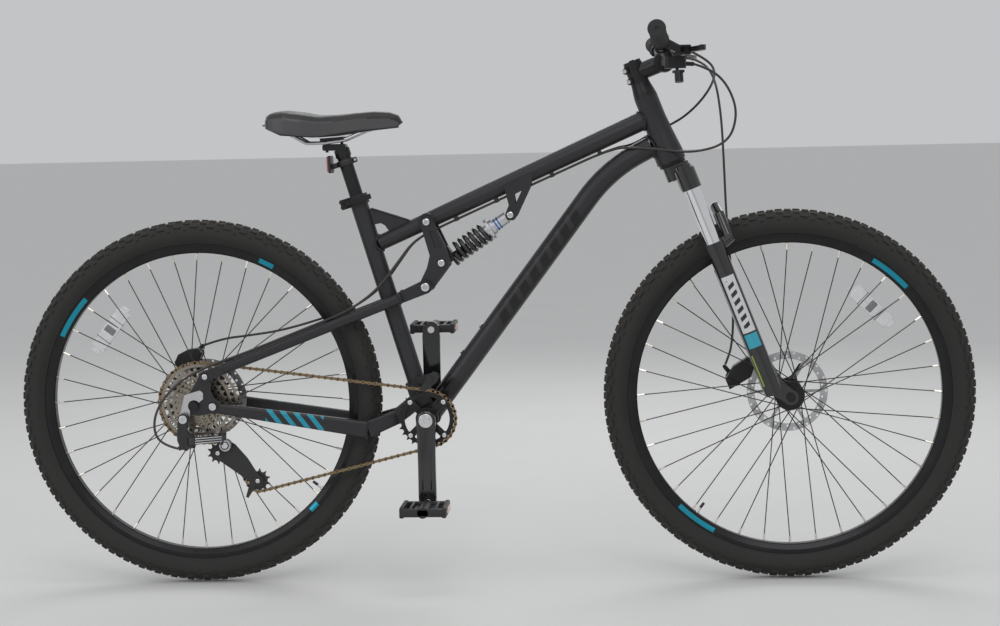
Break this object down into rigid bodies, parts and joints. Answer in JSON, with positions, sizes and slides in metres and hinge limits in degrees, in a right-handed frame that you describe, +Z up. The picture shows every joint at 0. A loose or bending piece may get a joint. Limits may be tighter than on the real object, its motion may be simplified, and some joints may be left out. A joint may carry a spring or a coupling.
{
  "type": "full suspension mountain bike",
  "caption": "Mountain bike with a telescopic fork, a coil shock in a linkage frame, disc brakes, a single chainring and a rear derailleur.",
  "frame": {"origin": "on the ground, midway between the axles, on the bike's middle plane", "axes": "+X forward, +Y the rider's left, +Z up; the drive side faces -Y"},
  "size_m": [1.901, 0.7122, 1.0853],
  "materials": {
    "frame_paint": "satin",
    "gloss_black": "gloss",
    "black_alloy": "satin",
    "chrome": "polished",
    "steel": "brushed",
    "alloy": "satin",
    "cassette_steel": "satin",
    "chain_steel": "satin",
    "spring_steel": "gloss",
    "tyre_rubber": "matte",
    "grip_rubber": "matte",
    "cable_housing": "satin",
    "saddle_skin": "satin",
    "black_plastic": "satin",
    "reflector": "gloss",
    "spoke_black": "satin"
  },
  "bodies": {
    "frame": {"head_tube": "frame_paint", "top_tube": "frame_paint", "down_tube": "frame_paint", "seat_tube": "frame_paint", "bottom_bracket_shell": "frame_paint", "frame_brackets": "frame_paint", "bearing_cups": "black_alloy", "seat_clamp_collar": "frame_paint", "chain_guide": "black_plastic", "control_cables": "cable_housing", "chain": "chain_steel"},
    "seat_lever": {"seat_clamp_lever": "black_alloy"},
    "seat": {"seat_post": "black_alloy", "saddle_rails": "steel", "saddle_cover": "saddle_skin", "saddle_shell": "black_plastic", "rear_reflector": "reflector"},
    "steering": {"fork_crown": "gloss_black", "fork_stanchions": "chrome", "stem": "black_alloy", "handlebar": "black_alloy", "grips": "grip_rubber", "bar_controls": "black_alloy", "front_brake_cable": "cable_housing"},
    "right_brake_lever": {"brake_lever_right": "black_alloy"},
    "left_brake_lever": {"brake_lever_left": "black_alloy"},
    "shift_paddle": {"shifter_paddle": "black_alloy"},
    "fork_slider": {"fork_lowers": "gloss_black", "front_axle": "black_alloy", "front_caliper": "black_alloy"},
    "front_wheel": {"front_tyre": "tyre_rubber", "front_rim": "black_alloy", "front_spokes": "spoke_black", "front_hub": "black_alloy", "front_rotor": "steel"},
    "swingarm": {"chainstays": "frame_paint", "derailleur_hanger": "alloy", "rear_axle": "black_alloy", "rear_caliper": "black_alloy"},
    "rear_wheel": {"rear_tyre": "tyre_rubber", "rear_rim": "black_alloy", "rear_spokes": "spoke_black", "rear_hub": "black_alloy", "rear_rotor": "steel", "cassette": "cassette_steel"},
    "rocker": {"rocker_links": "frame_paint"},
    "seatstay_link": {"seatstays": "frame_paint"},
    "shock_front": {"shock_body": "alloy", "shock_spring": "spring_steel"},
    "shock_rear": {"shock_shaft": "alloy"},
    "crank": {"crank_arms": "gloss_black", "chainring": "black_alloy"},
    "right_pedal": {"pedal_right": "black_plastic"},
    "left_pedal": {"pedal_left": "black_plastic"},
    "mech_knuckle": {"derailleur_knuckle": "black_plastic"},
    "mech_link": {"derailleur_link": "black_plastic"},
    "mech_body": {"derailleur_body": "black_plastic"},
    "mech_cage": {"derailleur_cage": "black_plastic"},
    "top_jockey": {"upper_pulley": "black_plastic"},
    "bottom_jockey": {"lower_pulley": "black_plastic"}
  },
  "joints": [
    {"name": "steering_turn", "type": "hinge", "parent": "frame", "child": "steering", "pos_m": [0.3358, 0, 0.8922], "axis": [0.3584, 0, -0.9336], "range_deg": [-70, 70], "deforming": ["control_cables"]},
    {"name": "seat_height", "type": "slide", "parent": "frame", "child": "seat", "axis": [-0.284, 0, 0.9588], "range_m": [-0.04, 0.1]},
    {"name": "seat_lever_open", "type": "hinge", "parent": "frame", "child": "seat_lever", "pos_m": [-0.28509, -0.023, 0.75509], "axis": [0.284, 0, -0.9588], "range_deg": [0, 120]},
    {"name": "right_brake_pull", "type": "hinge", "parent": "steering", "child": "right_brake_lever", "pos_m": [0.388, -0.186, 1.036], "axis": [0, 0, -1], "range_deg": [0, 16], "stiffness_Nm_per_rad": 0.6},
    {"name": "left_brake_pull", "type": "hinge", "parent": "steering", "child": "left_brake_lever", "pos_m": [0.388, 0.186, 1.036], "axis": [0, 0, 1], "range_deg": [0, 16], "stiffness_Nm_per_rad": 0.6},
    {"name": "shift_push", "type": "hinge", "parent": "steering", "child": "shift_paddle", "pos_m": [0.371, -0.16, 0.999], "axis": [0, 0, 1], "range_deg": [0, 20], "stiffness_Nm_per_rad": 0.3},
    {"name": "fork_travel", "type": "slide", "parent": "steering", "child": "fork_slider", "axis": [-0.3584, 0, 0.9336], "range_m": [0, 0.1], "stiffness_N_per_m": 6000, "deforming": ["front_brake_cable"]},
    {"name": "front_wheel_spin", "type": "hinge", "parent": "fork_slider", "child": "front_wheel", "pos_m": [0.5845, 0, 0.366], "axis": [0, 1, 0], "continuous": true},
    {"name": "swingarm_swing", "type": "hinge", "parent": "frame", "child": "swingarm", "pos_m": [-0.137, 0, 0.373], "axis": [0, 1, 0], "range_deg": [0, 12.75], "stiffness_Nm_per_rad": 2500, "deforming": ["chain"]},
    {"name": "rear_wheel_spin", "type": "hinge", "parent": "swingarm", "child": "rear_wheel", "pos_m": [-0.5845, 0, 0.366], "axis": [0, 1, 0], "continuous": true},
    {"name": "rocker_turn", "type": "hinge", "parent": "frame", "child": "rocker", "pos_m": [-0.121, 0, 0.7185], "axis": [0, 1, 0], "range_deg": [-24, 3]},
    {"name": "seatstay_turn", "type": "hinge", "parent": "swingarm", "child": "seatstay_link", "pos_m": [-0.5608, 0, 0.4241], "axis": [0, 1, 0], "range_deg": [-4, 2]},
    {"name": "shock_swing", "type": "hinge", "parent": "frame", "child": "shock_front", "pos_m": [0.0438, 0, 0.7288], "axis": [0, 1, 0], "range_deg": [-3, 2]},
    {"name": "shock_stroke", "type": "slide", "parent": "shock_front", "child": "shock_rear", "axis": [0.8309, 0, 0.5564], "range_m": [0, 0.0335], "deforming": ["shock_spring"]},
    {"name": "crank_spin", "type": "hinge", "parent": "frame", "child": "crank", "pos_m": [-0.127, 0, 0.3315], "axis": [0, 1, 0], "continuous": true},
    {"name": "right_pedal_spin", "type": "hinge", "parent": "crank", "child": "right_pedal", "pos_m": [-0.127, 0, 0.1665], "axis": [0, 1, 0], "continuous": true},
    {"name": "left_pedal_spin", "type": "hinge", "parent": "crank", "child": "left_pedal", "pos_m": [-0.127, 0, 0.4965], "axis": [0, 1, 0], "continuous": true},
    {"name": "mech_hanger_turn", "type": "hinge", "parent": "swingarm", "child": "mech_knuckle", "pos_m": [-0.6049, 0, 0.3414], "axis": [0, 1, 0], "range_deg": [0, 8], "stiffness_Nm_per_rad": 2},
    {"name": "mech_link_swing", "type": "hinge", "parent": "mech_knuckle", "child": "mech_link", "pos_m": [-0.59, -0.086, 0.298], "axis": [0, 0, 1], "range_deg": [-10, 0], "stiffness_Nm_per_rad": 1},
    {"name": "mech_body_turn", "type": "hinge", "parent": "mech_link", "child": "mech_body", "pos_m": [-0.535, -0.054, 0.298], "axis": [0, 0, 1], "range_deg": [0, 10]},
    {"name": "mech_cage_swing", "type": "hinge", "parent": "mech_body", "child": "mech_cage", "pos_m": [-0.53, 0, 0.284], "axis": [0, 1, 0], "range_deg": [-20, 10], "stiffness_Nm_per_rad": 0.5},
    {"name": "top_jockey_spin", "type": "hinge", "parent": "mech_cage", "child": "top_jockey", "pos_m": [-0.5475, 0, 0.267], "axis": [0, 1, 0], "continuous": true},
    {"name": "bottom_jockey_spin", "type": "hinge", "parent": "mech_cage", "child": "bottom_jockey", "pos_m": [-0.4688, 0, 0.2103], "axis": [0, 1, 0], "continuous": true}
  ],
  "couplings": [
    {"joint": "rocker_turn", "follows": "swingarm_swing", "ratio": -1.6234},
    {"joint": "seatstay_turn", "follows": "swingarm_swing", "ratio": -0.123},
    {"joint": "shock_swing", "follows": "swingarm_swing", "ratio": -0.101},
    {"joint": "shock_stroke", "follows": "swingarm_swing", "m_per_rad": 0.13831},
    {"joint": "rear_wheel_spin", "follows": "crank_spin", "ratio": 0.7},
    {"joint": "top_jockey_spin", "follows": "crank_spin", "ratio": -2.8},
    {"joint": "bottom_jockey_spin", "follows": "crank_spin", "ratio": 2.5455},
    {"joint": "mech_body_turn", "follows": "mech_link_swing", "ratio": -1}
  ]
}
